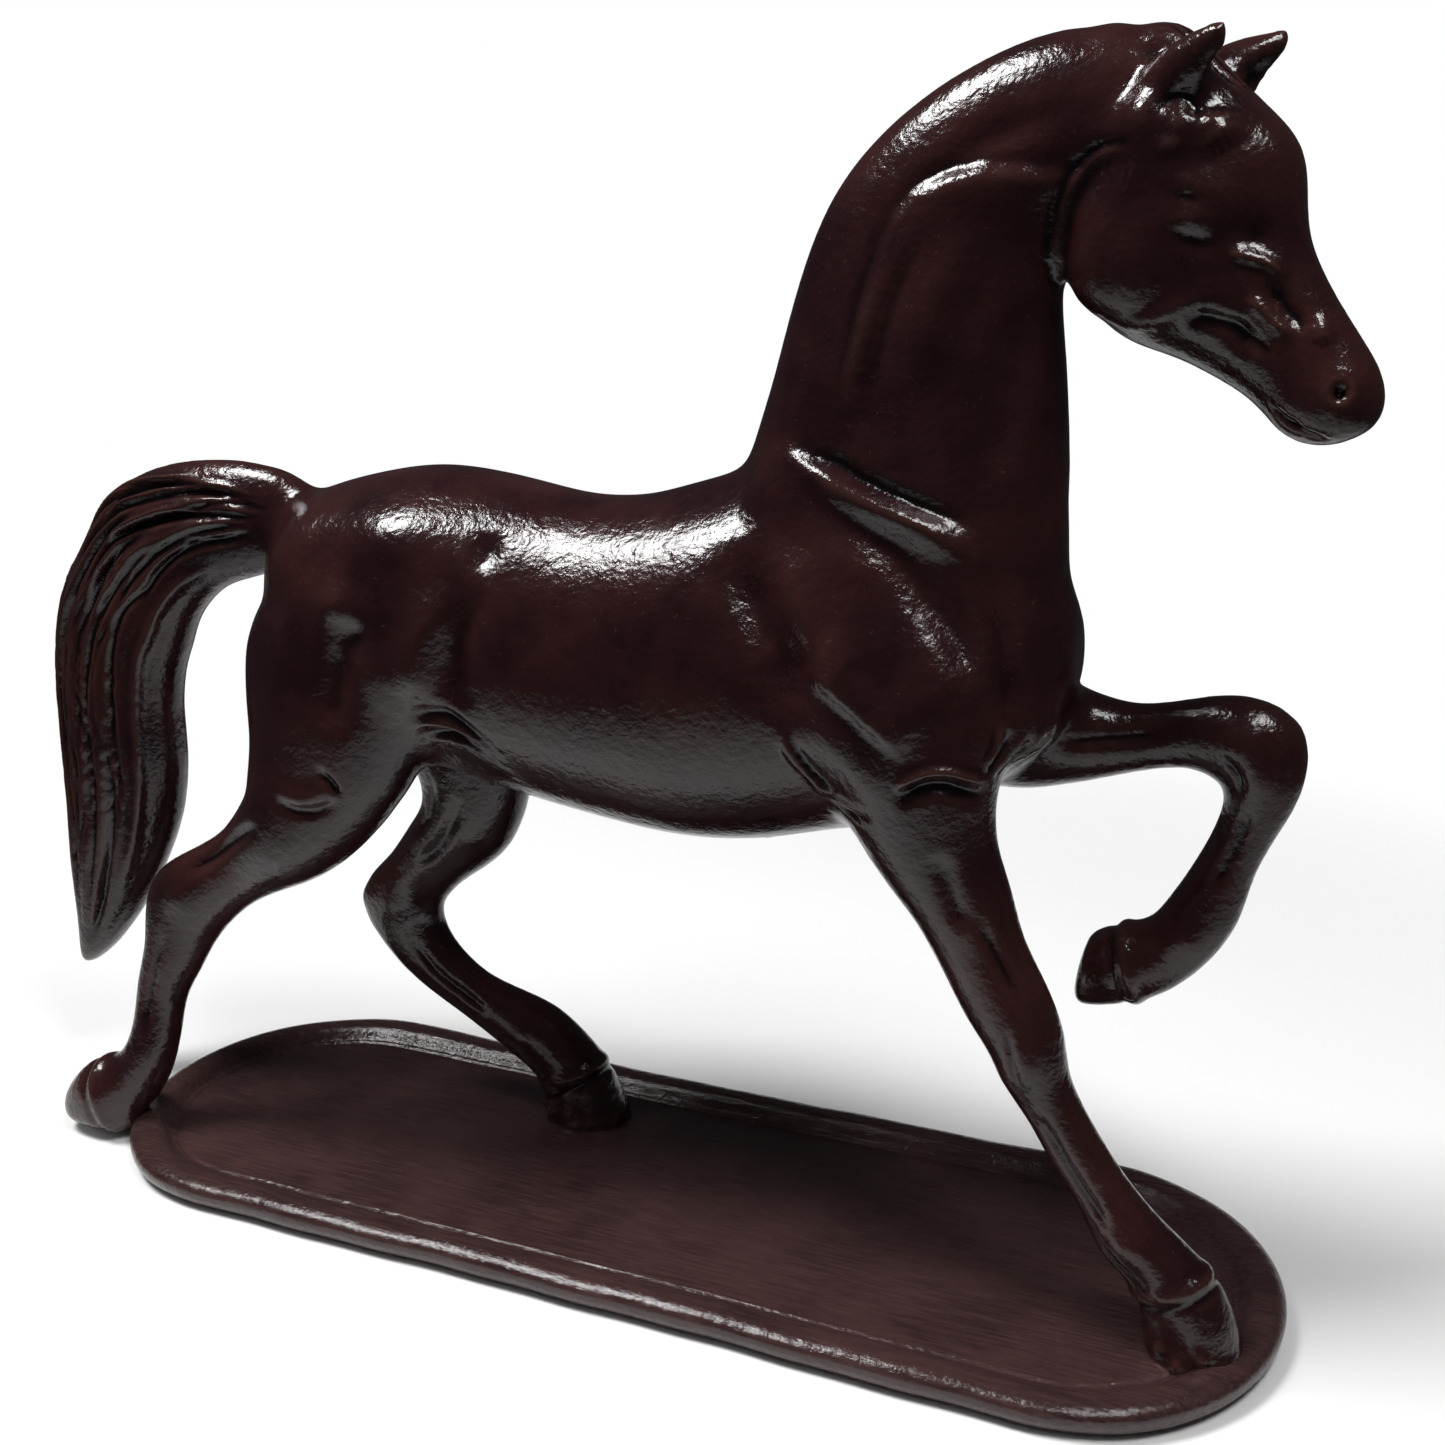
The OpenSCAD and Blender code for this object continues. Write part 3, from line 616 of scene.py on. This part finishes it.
def carve_tail(clay):
    """Long locks that fan over the arch and fall in shallow waves, with fine cuts between them."""
    random = np.random.default_rng(7)
    for side in BOTH:
        for k in range(TAIL_SIDE_CUTS):
            lock = k % 3 == 0
            start = random.uniform(0.02, 0.70)
            length = random.uniform(0.26, 0.50) if lock else random.uniform(0.12, 0.28)
            across = random.uniform(-0.35, 0.97)
            drift = random.uniform(-0.14, 0.10)
            wave = random.uniform(0.02, 0.06)
            turn = random.uniform(0, 6.3)
            points = []
            for t in np.linspace(0, 1, 7):
                along = min(start + length * t, 0.99)
                fan = 0.55 + 0.45 * min(1, along / FULL_SPREAD_FROM)
                spread = across * fan + drift * t + wave * math.sin(turn + 6 * t)
                points.append(tail_point(along, float(np.clip(spread, -0.5, 0.99)), side))
            width = random.uniform(1.0, 1.5) if lock else random.uniform(0.8, 0.95)
            depth = random.uniform(1.1, 1.7) if lock else random.uniform(0.5, 0.85)
            clay.line(points, width, -depth, ends=0.3)
            clay.line(np.array(points) + [0.0, 0.0, 1.6 * width], width, 0.5 * depth, ends=0.3)
        edge = [tail_point(t, -0.62, side) for t in np.linspace(0.12, 0.88, 9)]
        clay.line(edge, 1.8, 1.3, ends=0.15)
    for _ in range(TAIL_BACK_CUTS):
        start = random.uniform(0.0, 0.6)
        points = np.array([tail_point(min(start + t * 0.3, 0.98), 1.0, RIGHT) for t in np.linspace(0, 1, 6)])
        points[:, 1] = random.uniform(-5, 5) + random.uniform(-1.5, 1.5) * np.linspace(-1, 1, 6)
        clay.line(points, 0.95, -0.7, ends=0.3)


# ---- hooves

def ring(centre, axis, radius, count=20):
    """Points round a circle square to `axis`, closed on itself."""
    axis = Vector(axis).normalized()
    first = axis.orthogonal().normalized()
    second = axis.cross(first)
    turns = np.linspace(0, 2 * math.pi, count)
    return np.array([Vector(centre) + radius * (math.cos(a) * first + math.sin(a) * second) for a in turns])


# Each hoof: centre of its coronet, the way its wall runs down, radius.
HOOVES = [([135, -17, 21], [0.42, 0, -0.9], 11), ([-40, 27, 17], [0.45, 0, -0.9], 12),
          ([-159, -28, 13.5], [-0.95, 0, -0.3], 12), ([117, 17, 81.5], [-0.95, 0, -0.25], 11)]
# Each planted hoof: x and y of its middle, and how far out its weld lies.
WELDS = [([142, -17], 11.5), ([-35, 27], 12.5)]
WELD_REACH = 20
WELD_TOP = 9


def model_hooves(clay):
    """The band of the coronet above each hoof wall, with a shallow groove just below it."""
    for centre, axis, radius in HOOVES:
        clay.line(ring(centre, axis, radius), 2.0, 0.7, ends=0.0)
        below = np.array(centre) + 2.4 * np.array(axis)
        clay.line(ring(below, axis, radius), 1.4, -0.5, ends=0.0)


def spread_welds(clay):
    """Weld metal that lumps up and runs out onto the floor round the planted hooves."""
    random = np.random.default_rng(3)
    for centre, reach in WELDS:
        for turn in np.linspace(0, 2 * math.pi, 15)[:-1]:
            lump = [centre[0] + reach * math.cos(turn), centre[1] + reach * 0.9 * math.sin(turn),
                    random.uniform(5, 9)]
            clay.bump(lump, random.uniform(1.6, 2.8), random.uniform(0.4, 1.5))
    clay.renew()
    for centre, _ in WELDS:
        away = clay.points[:, :2] - centre
        index = np.nonzero((np.linalg.norm(away, axis=1) < WELD_REACH) & (clay.points[:, 2] < WELD_TOP))[0]
        height = clay.points[index, 2] - FLOOR_Z
        turn = np.arctan2(away[index, 1], away[index, 0])
        flare = (1.5 + 0.5 * np.sin(3 * turn) + 0.3 * np.sin(7 * turn)) * np.exp(-np.maximum(height, 0) / 1.2)
        outward = away[index] / np.maximum(np.linalg.norm(away[index], axis=1), 1e-6)[:, None]
        clay.points[index, :2] += outward * flare[:, None]


def modelled_horse():
    """The whole horse as worked clay."""
    clay = Clay(*smooth_skin(SKIN_STEP))
    clay = Clay(*subdivided(clay.points, clay.quads))
    for side in BOTH:
        half = OneSide(clay, side, mirrored)
        model_neck(half)
        model_shoulder(half)
        model_quarter(half)
        model_head(OneSide(clay, side, head_points))
    model_forehead(clay)
    model_near_elbow(clay)
    model_near_gaskin(clay)
    model_far_hind(clay)
    model_near_fore(clay)
    model_far_fore(clay)
    clay.renew()
    carve_tail(clay)
    model_hooves(clay)
    clay.renew()
    spread_welds(clay)
    clay.renew()
    return clay


# ---- one piece per casting

def face_owners(clay):
    """For each face, the number of the casting whose CAD surface is nearest."""
    centres = clay.points[clay.quads].mean(1)
    nearest = np.full(len(centres), np.inf)
    owner = np.zeros(len(centres), int)
    for number, name in enumerate(CASTINGS):
        points, triangles = node_mesh(name)
        field = Field(points.min(0) - OWNER_MARGIN, points.max(0) + OWNER_MARGIN, OWNER_STEP)
        field.fill_from_mesh(points, OWNER_REACH, triangles=triangles)
        gap = field.sample(centres)
        owner[gap < nearest] = number
        nearest = np.minimum(gap, nearest)
    return owner


def face_pairs(quads):
    """Pairs of faces that share an edge."""
    edges = np.stack([quads, np.roll(quads, -1, axis=1)], axis=2).reshape(-1, 2)
    key = edges.min(1).astype(np.int64) * (quads.max() + 1) + edges.max(1)
    order = np.argsort(key, kind="stable")
    same = key[order][1:] == key[order][:-1]
    return np.stack([order[:-1][same] // 4, order[1:][same] // 4], axis=1)


def groups(count, pairs):
    """Numbers the connected groups among `count` items joined by pairs."""
    label = np.arange(count)
    while True:
        lowest = np.minimum(label[pairs[:, 0]], label[pairs[:, 1]])
        new = label.copy()
        np.minimum.at(new, pairs[:, 0], lowest)
        np.minimum.at(new, pairs[:, 1], lowest)
        new = new[new]
        if np.array_equal(new, label):
            return label
        label = new


def without_islands(owner, pairs):
    """Gives each stray patch of faces to the casting around it."""
    for _ in range(4):
        same = owner[pairs[:, 0]] == owner[pairs[:, 1]]
        label = groups(len(owner), pairs[same])
        sizes = np.bincount(label, minlength=len(owner))
        stray = np.ones(len(owner), bool)
        for number in range(len(CASTINGS)):
            mine = np.nonzero(owner == number)[0]
            stray[label == label[mine[sizes[label[mine]].argmax()]]] = False
        if not stray.any():
            break
        for a, b in (pairs.T, pairs[:, ::-1].T):
            taken = stray[a] & ~stray[b]
            owner[a[taken]] = owner[b[taken]]
    return owner


def wear_and_shade(clay, rounds=2):
    """How much every point stands out of the surface round it: above 0 on ridges, below 0 in grooves. The
    ridges are coloured as rubbed from it, and the grooves darkened with painted shade.
    """
    starts = clay.quads.ravel()
    ends = np.roll(clay.quads, -1, axis=1).ravel()
    count = np.maximum(np.bincount(starts, minlength=len(clay.points)), 1)
    away = clay.points[ends] - clay.points[starts]
    rise = -(away * clay.normals[starts]).sum(1) / np.maximum((away ** 2).sum(1), 1e-9)
    value = np.bincount(starts, rise, len(clay.points)) / count
    for _ in range(rounds):
        value = 0.5 * value + 0.5 * np.bincount(starts, value[ends], len(clay.points)) / count
    return value


def closed_piece(name, clay, faces, wear_and_shade_level):
    """The given faces as a closed mesh, each open end capped, with the normals of the whole skin."""
    used, local = np.unique(faces, return_inverse=True)
    local = local.reshape(faces.shape)
    edges = np.stack([local, np.roll(local, -1, axis=1)], axis=2).reshape(-1, 2)
    count = len(used)
    key = edges[:, 0].astype(np.int64) * count + edges[:, 1]
    back = edges[:, 1].astype(np.int64) * count + edges[:, 0]
    rim = edges[~np.isin(key, back)]
    points, normals, caps = [clay.points[used]], [clay.normals[used]], []
    label = groups(count, rim)[rim[:, 0]]
    for number, ends in enumerate(np.unique(label)):
        loop = rim[label == ends]
        points.append(clay.points[used[loop[:, 0]]].mean(0)[None])
        normals.append(np.array([[0.0, 0.0, 1.0]]))
        caps.append(np.column_stack([loop[:, 1], loop[:, 0], np.full(len(loop), count + number)]))
    mesh = make_mesh(name, np.vstack(points), local, np.vstack(caps))
    mesh.normals_split_custom_set_from_vertices(np.vstack(normals).tolist())
    values = np.zeros(len(mesh.vertices), np.float32)
    values[:count] = wear_and_shade_level[used]
    # the rubbed ridges and the painted shade of the grooves are coloured from this
    mesh.attributes.new("wear_and_shade", "FLOAT", "POINT").data.foreach_set("value", values)
    return add_object(name, mesh)


def add_castings(material):
    """Replaces every casting of the horse with its modelled piece."""
    clay = modelled_horse()
    pairs = face_pairs(clay.quads)
    owner = without_islands(face_owners(clay), pairs)
    wear_and_shade_level = wear_and_shade(clay)
    for number, node in enumerate(CASTINGS):
        piece = closed_piece(node.replace("_casting", "_skin"), clay, clay.quads[owner == number], wear_and_shade_level)
        piece.data.materials.append(material)
        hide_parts(node)
        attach(piece, "root")


# ---- the tray base

BASE_END_FLATNESS = 0.91    # the ends are ellipses, this much shorter than half circles
BASE_SECTIONS = 1200

def base_profile(half_width):
    """The base's section as [distance from the middle line, height], from the underside to the floor."""
    sole = half_width - 4.2
    crest = half_width - 4.5
    pad_edge = half_width - 10.5
    floor_edge = half_width - 13
    inner_line = 24.0
    underside, pad_roof, widest, crest_height = 0.5, 1.5, 5.0, 8.0
    wall_steepness = 1.7
    foot_groove = [(0.3, 0.45), (1.0, 0.5), (1.6, 0.1)]
    section = [[inner_line, pad_roof], [pad_edge, pad_roof], [pad_edge, underside], [sole, underside]]
    for turn in np.linspace(0.1, 1, 11) * math.pi / 2:
        section.append([sole + (half_width - sole) * math.sin(turn),
                        widest - (widest - underside) * math.cos(turn)])
    for turn in np.linspace(0.1, 1, 12) * math.pi / 2:
        section.append([crest + (half_width - crest) * math.cos(turn),
                        widest + (crest_height - widest) * math.sin(turn)])
    for t in np.linspace(0.05, 1, 20):
        fall = (1 + math.cos(math.pi * t ** wall_steepness)) / 2
        section.append([crest + (floor_edge - crest) * t, FLOOR_Z + (crest_height - FLOOR_Z) * fall])
    for inward, depth in foot_groove:
        section.append([floor_edge - inward, FLOOR_Z - depth])
    for distance in np.linspace(floor_edge - 2.2, inner_line, 5):
        section.append([distance, FLOOR_Z])
    return np.array(section)


def base_outline(half_length, half_width, flatness, count):
    """Round the base once: where each section stands on the middle line, and which way it faces."""
    straight = half_length - half_width * flatness
    quarter = count // 4
    bend = np.linspace(0, math.pi / 2, quarter // 2 * 2 + 1)[:-1]
    right = [[straight, math.cos(a) * flatness, math.sin(a)] for a in bend]
    run = [[x, 0.0, 1.0] for x in np.linspace(straight, -straight, count // 4)]
    left = [[-straight, -math.sin(a) * flatness, math.cos(a)] for a in bend[1:]]
    half = np.array(right + run + left + [[-straight, -flatness, 0.0]])
    other = half[1:-1][::-1] * [1, 1, -1]
    return np.vstack([half, other])


def tray_points(half_length, half_width):
    """The tray's points, one row round the profile for each place on the outline. The rim is a little wavy
    and bowed in along the middle of its long sides, as it is where it was finished by hand."""
    outline = base_outline(half_length, half_width, BASE_END_FLATNESS, BASE_SECTIONS)
    profile = base_profile(half_width)
    middle, sideways = outline[:, None, 0], outline[:, None, 2]
    x = middle + outline[:, None, 1] * profile[None, :, 0]
    y = sideways * profile[None, :, 0]
    z = np.broadcast_to(profile[None, :, 1], x.shape).copy()
    outer = np.clip((np.hypot(y, x - middle) - half_width + 20) / 16, 0, 1)
    bow = 1.3 * np.cos(np.clip(x / half_length, -1, 1) * math.pi / 2) ** 2
    wave = 0.22 * np.sin(x / 11 + 1.7 * np.sign(y)) + 0.14 * np.sin(x / 4.3 + 2 * np.sign(y))
    largest_wave = 0.36
    y -= np.sign(y) * outer * np.abs(sideways) ** 4 * (bow + wave + largest_wave)
    z += outer * np.clip((z - FLOOR_Z) / 3.5, 0, 1) * (0.16 * np.sin(x / 8.5 + y / 30) - 0.16)
    return np.stack([x, y, z], axis=2)


def tray_faces(columns, rows):
    """Quads round the rim and across the underside and the floor, and triangles at their four tips."""
    index = np.arange(columns * rows).reshape(columns, rows)
    following = np.roll(index, -1, axis=0)
    sides = np.stack([index[:, :-1], following[:, :-1], following[:, 1:], index[:, 1:]], axis=2)
    half = columns // 2
    k = np.arange(1, half - 1)
    quads, triangles = [sides.reshape(-1, 4)], []
    for row, top in ((0, False), (rows - 1, True)):
        strip = np.column_stack([index[k, row], index[k + 1, row],
                                 index[columns - k - 1, row], index[columns - k, row]])
        tips = np.array([[index[0, row], index[1, row], index[-1, row]],
                         [index[half - 1, row], index[half, row], index[half + 1, row]]])
        quads.append(strip if top else strip[:, ::-1])
        triangles.append(tips if top else tips[:, ::-1])
    return np.vstack(quads), np.vstack(triangles)


def add_base(material):
    """The tray as one fine closed mesh."""
    half_length, half_width = np.array(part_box("base_casting")[1])[:2] / MM
    points = tray_points(half_length, half_width)
    mesh = make_mesh("base_tray", points.reshape(-1, 3), *tray_faces(*points.shape[:2]))
    piece = add_object("base_tray", mesh)
    piece.data.materials.append(material)
    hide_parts("base_casting")
    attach(piece, "root")


# ---- materials

class Nodes:
    """A node material under construction."""

    def __init__(self, name):
        self.material = bpy.data.materials.new(name)
        self.material.use_nodes = True
        self.tree = self.material.node_tree
        self.shader = self.tree.nodes["Principled BSDF"]
        self.place = self.tree.nodes.new("ShaderNodeTexCoord").outputs["Object"]

    def add(self, kind, **values):
        """A node with the given properties and socket values, which may be other nodes' outputs."""
        node = self.tree.nodes.new(kind)
        for key, value in values.items():
            if hasattr(node, key):
                setattr(node, key, value)
            else:
                self.put(node.inputs[key.replace("_", " ")], value)
        return node

    def put(self, socket, value):
        if isinstance(value, bpy.types.NodeSocket):
            self.tree.links.new(value, socket)
        else:
            socket.default_value = value

    def noise(self, scale, detail=3.0, roughness=0.55, stretch=(1, 1, 1)):
        """A noise pattern; scale is in features per metre."""
        mapping = self.add("ShaderNodeMapping", Vector=self.place, Scale=stretch)
        return self.add("ShaderNodeTexNoise", Vector=mapping.outputs[0], Scale=scale, Detail=detail,
                        Roughness=roughness).outputs["Fac"]

    def steps(self, source, low, high, a=0.0, b=1.0):
        """Maps low..high of a value to a..b."""
        node = self.add("ShaderNodeMapRange")
        for name, value in (("Value", source), ("From Min", low), ("From Max", high),
                            ("To Min", a), ("To Max", b)):
            self.put(node.inputs[name], value)
        return node.outputs[0]

    def mix(self, share, a, b):
        node = self.add("ShaderNodeMix", data_type="RGBA")
        for name, value in (("Factor_Float", share), ("A_Color", a), ("B_Color", b)):
            self.put(next(i for i in node.inputs if i.identifier == name), value)
        return next(o for o in node.outputs if o.identifier == "Result_Color")

    def bump(self, height, strength, distance, normal=None):
        node = self.add("ShaderNodeBump", Height=height, Strength=strength, Distance=distance)
        if normal:
            self.put(node.inputs["Normal"], normal)
        return node.outputs[0]

    def set(self, **values):
        for key, value in values.items():
            self.put(self.shader.inputs[key.replace("_", " ")], value)
        return self.material


BRONZE = [(0.0115, 0.0034, 0.0045, 1), (0.032, 0.0100, 0.0098, 1)]
BASE_BRONZE = [(0.022, 0.010, 0.011, 1), (0.044, 0.021, 0.021, 1)]
WORN_EDGE = (0.050, 0.022, 0.017, 1)
# painted shade for the grooves, near black
GROOVE_PAINTED_SHADE = (0.0015, 0.001, 0.0015, 1)
SPECK = (0.10, 0.055, 0.040, 1)
STREAK = (0.075, 0.038, 0.035, 1)


def patina(name, dark, light, streaks=False):
    """Dark reddish-brown waxed patina: redder where it is rubbed, with painted shade darkening the grooves to
    near black, and glossy.
    """
    n = Nodes(name)
    cloud = n.noise(38, detail=4)
    brown = n.mix(n.steps(cloud, 0.35, 0.68), dark, light)
    wear_and_shade_level = n.add("ShaderNodeAttribute", attribute_name="wear_and_shade").outputs["Fac"]
    brown = n.mix(n.steps(wear_and_shade_level, 0.02, 0.16, 0, 0.55), brown, WORN_EDGE)
    # painted shade: the grooves are darkened to near black
    brown = n.mix(n.steps(wear_and_shade_level, -0.02, -0.14, 0, 0.9), brown, GROOVE_PAINTED_SHADE)
    specks = n.steps(n.noise(900, detail=2), 0.70, 0.74, 0, 0.25)
    brown = n.mix(specks, brown, SPECK)
    normal = n.bump(n.noise(260, detail=2, roughness=0.5), 0.30, 0.0008)
    normal = n.bump(n.noise(650, detail=3, roughness=0.6), 0.45, 0.0004, normal)
    if streaks:
        lines = n.noise(70, detail=5, roughness=0.7, stretch=(1, 16, 16))
        brown = n.mix(n.steps(lines, 0.4, 0.7, 0, 0.6), brown, STREAK)
        normal = n.bump(lines, 0.22, 0.0006, normal)
    rough = n.steps(n.noise(300, detail=4, roughness=0.65), 0.3, 0.7, 0.11, 0.21)
    return n.set(Base_Color=brown, Metallic=0.0, Roughness=rough, Specular_IOR_Level=0.45,
                 Coat_Weight=0.0, Normal=normal)


def felt():
    n = Nodes("felt")
    fibre = n.noise(1400, detail=5, roughness=0.7)
    colour = n.mix(fibre, (0.012, 0.06, 0.028, 1), (0.03, 0.13, 0.06, 1))
    return n.set(Base_Color=colour, Roughness=0.95, Sheen_Weight=0.4, Normal=n.bump(fibre, 0.6, 0.0006))


def steel():
    n = Nodes("steel")
    scratches = n.noise(300, detail=4, stretch=(1, 1, 12))
    rough = n.steps(scratches, 0.3, 0.7, 0.25, 0.45)
    return n.set(Base_Color=(0.56, 0.56, 0.58, 1), Metallic=1.0, Roughness=rough,
                 Normal=n.bump(scratches, 0.15, 0.0002))


def raw_bronze():
    n = Nodes("raw_bronze")
    file_marks = n.noise(400, detail=3, stretch=(1, 10, 1))
    colour = n.mix(file_marks, (0.50, 0.31, 0.15, 1), (0.62, 0.41, 0.21, 1))
    return n.set(Base_Color=colour, Metallic=1.0, Roughness=0.38, Normal=n.bump(file_marks, 0.25, 0.0003))


def floor_material():
    """Pale floor that gives way to the even backdrop a little way off, so that no horizon shows."""
    n = Nodes("pale_floor")
    shade = n.mix(n.noise(6), (0.86, 0.86, 0.855, 1), (0.88, 0.88, 0.875, 1))
    n.set(Base_Color=shade, Roughness=0.8, Specular_IOR_Level=0.1)
    centred = n.add("ShaderNodeVectorMath", operation="SUBTRACT")
    n.put(centred.inputs[0], n.place)
    n.put(centred.inputs[1], FLOOR_CENTRE)
    away = n.add("ShaderNodeVectorMath", operation="LENGTH")
    n.put(away.inputs[0], centred.outputs[0])
    gone = n.steps(away.outputs["Value"], *FLOOR_FADE)
    clear = n.add("ShaderNodeBsdfTransparent")
    choose = n.add("ShaderNodeMixShader")
    for socket, value in zip(choose.inputs, (gone, n.shader.outputs[0], clear.outputs[0])):
        n.put(socket, value)
    n.put(n.tree.nodes["Material Output"].inputs["Surface"], choose.outputs[0])
    return n.material


def dress_nodes(materials):
    """Gives every CAD node that still shows its material."""
    slots = {part["node"]: part["material_slot"] for part in frame["record"]["subparts"]}
    for name, piece in frame["nodes"].items():
        material = materials[slots[name]]
        piece.data.materials.clear()
        piece.data.materials.append(material)


# ---- studio

# Places and sizes here are in metres. The floor is whole up to the first radius and gone at the second.
FLOOR_CENTRE = (0.0, 0.08, 0.0)
FLOOR_FADE = (0.19, 0.42)
FLOOR_HALF_SIZE = 1.5

CAMERA_PLACE = (0.1731, -0.3594, 0.2399)
CAMERA_AZIMUTH = 23.28      # degrees from straight at the horse's right side, toward its head
CAMERA_ELEVATION = 15.13
CAMERA_LENS = 41.56         # millimetres, on a sensor 36 mm wide


def add_floor(material):
    h = FLOOR_HALF_SIZE
    mesh = bpy.data.meshes.new("floor")
    mesh.from_pydata([(-h, -h, 0), (h, -h, 0), (h, h, 0), (-h, h, 0)], [], [(0, 1, 2, 3)])
    floor = add_object("floor", mesh)
    mesh.materials.append(material)


def add_light(name, place, target, size, power, mirrored_in_gloss=True):
    """A square soft light that faces its target."""
    lamp = bpy.data.lights.new(name, "AREA")
    lamp.size = size
    lamp.energy = power
    light = bpy.data.objects.new(name, lamp)
    bpy.context.scene.collection.objects.link(light)
    light.location = place
    light.visible_glossy = mirrored_in_gloss
    light.rotation_euler = (Vector(place) - Vector(target)).to_track_quat("Z", "Y").to_euler()


def add_camera():
    """The viewpoint: a little above the back, to the front of the horse's right side, close by."""
    azimuth, elevation = math.radians(CAMERA_AZIMUTH), math.radians(CAMERA_ELEVATION)
    back = Vector((math.sin(azimuth) * math.cos(elevation), -math.cos(azimuth) * math.cos(elevation),
                   math.sin(elevation)))
    data = bpy.data.cameras.new("camera")
    data.lens = CAMERA_LENS
    data.sensor_width = 36
    data.clip_start = 0.01
    camera = bpy.data.objects.new("camera", data)
    bpy.context.scene.collection.objects.link(camera)
    camera.location = CAMERA_PLACE
    camera.rotation_euler = back.to_track_quat("Z", "Y").to_euler()
    bpy.context.scene.camera = camera


def add_world(seen, ambient):
    """An even pale surround for the camera and a dimmer one for lighting and reflections."""
    world = bpy.data.worlds.new("studio")
    world.use_nodes = True
    bpy.context.scene.world = world
    tree = world.node_tree
    light = tree.nodes["Background"]
    light.inputs["Color"].default_value = (ambient, ambient, ambient * 1.06, 1)
    backdrop = tree.nodes.new("ShaderNodeBackground")
    backdrop.inputs["Color"].default_value = (seen, seen, seen, 1)
    path = tree.nodes.new("ShaderNodeLightPath")
    choose = tree.nodes.new("ShaderNodeMixShader")
    tree.links.new(path.outputs["Is Camera Ray"], choose.inputs[0])
    tree.links.new(light.outputs[0], choose.inputs[1])
    tree.links.new(backdrop.outputs[0], choose.inputs[2])
    tree.links.new(choose.outputs[0], tree.nodes["World Output"].inputs["Surface"])


def add_studio():
    """A soft light from above the tail, a smaller one over the head, and a broad weak one in front."""
    centre = (0.0, 0.0, 0.14)
    bpy.context.scene.view_settings.view_transform = "Standard"
    add_world(seen=1.0, ambient=0.035)
    add_light("ceiling", (-0.60, -0.25, 1.20), centre, 0.40, 17)
    add_light("lamp", (0.40, -0.26, 0.96), (0.10, 0.0, 0.24), 0.30, 5)
    add_light("fill", (-0.30, -0.80, 1.60), centre, 1.6, 5.5, mirrored_in_gloss=False)


# ---- the scene

materials = {"bronze": patina("bronze", *BRONZE),
             "base_bronze": patina("base_bronze", *BASE_BRONZE, streaks=True),
             "raw_bronze": raw_bronze(), "steel": steel(), "felt": felt()}
dress_nodes(materials)
add_castings(materials["bronze"])
add_base(materials["base_bronze"])
add_floor(floor_material())
add_studio()
add_camera()
